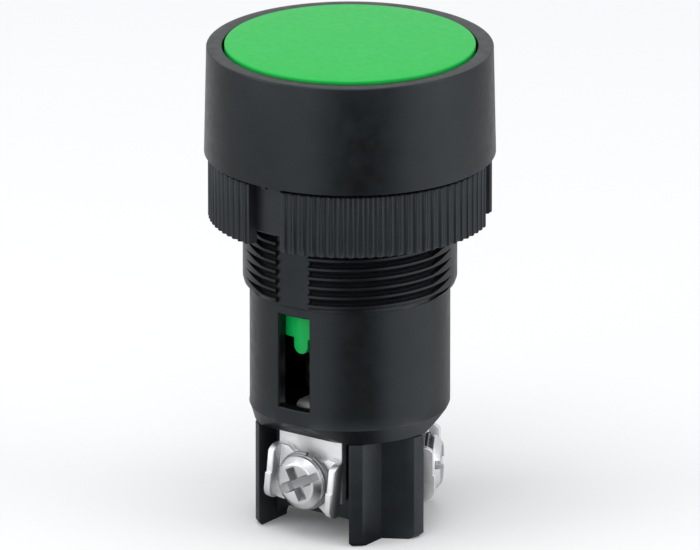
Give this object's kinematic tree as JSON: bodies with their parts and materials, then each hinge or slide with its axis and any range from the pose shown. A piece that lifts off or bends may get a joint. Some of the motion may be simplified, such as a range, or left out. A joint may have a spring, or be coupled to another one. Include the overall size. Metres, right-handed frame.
{
  "type": "pushbutton switch",
  "caption": "Momentary panel pushbutton with a flush round cap, threaded barrel, lock nut and screw terminals.",
  "frame": {"origin": "on the button's axis, in the plane of the bezel's underside, where the panel's front is", "axes": "+Z along the axis, out of the panel towards the cap; -Y towards the open contact's terminal"},
  "size_m": [0.0298, 0.0298, 0.0514],
  "materials": {
    "black_plastic": "satin moulded",
    "black_nut_plastic": "satin moulded",
    "black_rubber": "matt",
    "green_cap": "satin gloss",
    "green_plastic": "gloss",
    "contact_alloy": "rolled",
    "spring_steel": "drawn",
    "nickel_plate": "nickel plated",
    "nickel_clamp": "nickel plated",
    "nickel_screw": "nickel plated",
    "silver_contact": "polished silver"
  },
  "bodies": {
    "switch_body": {"housing": "black_plastic", "terminal_base": "black_plastic", "open_terminal": "nickel_plate", "closed_terminal": "nickel_plate", "common_terminal": "nickel_plate", "open_lower_rivet": "silver_contact", "closed_upper_rivet": "silver_contact", "common_lower_rivet": "silver_contact", "common_upper_rivet": "silver_contact", "return_spring": "spring_steel"},
    "button": {"button_cap": "green_cap", "plunger": "green_plastic"},
    "moving_contact": {"contact_bridge": "contact_alloy", "bridge_rivet_open": "silver_contact", "bridge_rivet_closed": "silver_contact", "bridge_rivet_common": "silver_contact", "contact_spring": "spring_steel"},
    "gasket": {"panel_gasket": "black_rubber"},
    "nut": {"lock_nut": "black_nut_plastic"},
    "open_saddle": {"open_clamp": "nickel_clamp", "open_washer": "nickel_clamp"},
    "open_fastener": {"open_screw": "nickel_screw"},
    "closed_saddle": {"closed_clamp": "nickel_clamp", "closed_washer": "nickel_clamp"},
    "closed_fastener": {"closed_screw": "nickel_screw"},
    "common_saddle": {"common_clamp": "nickel_clamp", "common_washer": "nickel_clamp"},
    "common_fastener": {"common_screw": "nickel_screw"}
  },
  "joints": [
    {"name": "button_press", "type": "slide", "parent": "switch_body", "child": "button", "axis": [0, 0, -1], "range_m": [0, 0.003], "stiffness_N_per_m": 900, "springref_m": -0.002, "deforming": ["contact_spring"]},
    {"name": "contact_travel", "type": "slide", "parent": "switch_body", "child": "moving_contact", "axis": [0, 0, -1], "range_m": [0, 0.002], "deforming": ["return_spring"]},
    {"name": "gasket_slide", "type": "slide", "parent": "switch_body", "child": "gasket", "axis": [0, 0, -1], "range_m": [0, 0.007]},
    {"name": "nut_turn", "type": "hinge", "parent": "gasket", "child": "nut", "pos_m": [0, 0, -0.0036], "axis": [0, 0, -1], "range_deg": [0, 2520]},
    {"name": "open_clamp_slide", "type": "slide", "parent": "switch_body", "child": "open_saddle", "axis": [0, -1, 0], "range_m": [0, 0.0018]},
    {"name": "open_screw_turn", "type": "hinge", "parent": "open_saddle", "child": "open_fastener", "pos_m": [0, -0.0083, -0.03345], "axis": [0, -1, 0], "range_deg": [0, 1080]},
    {"name": "closed_clamp_slide", "type": "slide", "parent": "switch_body", "child": "closed_saddle", "axis": [0.866, 0.5, 0], "range_m": [0, 0.0018]},
    {"name": "closed_screw_turn", "type": "hinge", "parent": "closed_saddle", "child": "closed_fastener", "pos_m": [0.00719, 0.00415, -0.03345], "axis": [0.866, 0.5, 0], "range_deg": [0, 1080]},
    {"name": "common_clamp_slide", "type": "slide", "parent": "switch_body", "child": "common_saddle", "axis": [-0.866, 0.5, 0], "range_m": [0, 0.0018]},
    {"name": "common_screw_turn", "type": "hinge", "parent": "common_saddle", "child": "common_fastener", "pos_m": [-0.00719, 0.00415, -0.03345], "axis": [-0.866, 0.5, 0], "range_deg": [0, 1080]}
  ],
  "couplings": [
    {"joint": "contact_travel", "follows": "button_press", "ratio": 0.6666},
    {"joint": "nut_turn", "follows": "gasket_slide", "rad_per_m": 6283.1},
    {"joint": "open_screw_turn", "follows": "open_clamp_slide", "rad_per_m": 10472},
    {"joint": "closed_screw_turn", "follows": "closed_clamp_slide", "rad_per_m": 10472},
    {"joint": "common_screw_turn", "follows": "common_clamp_slide", "rad_per_m": 10472}
  ]
}
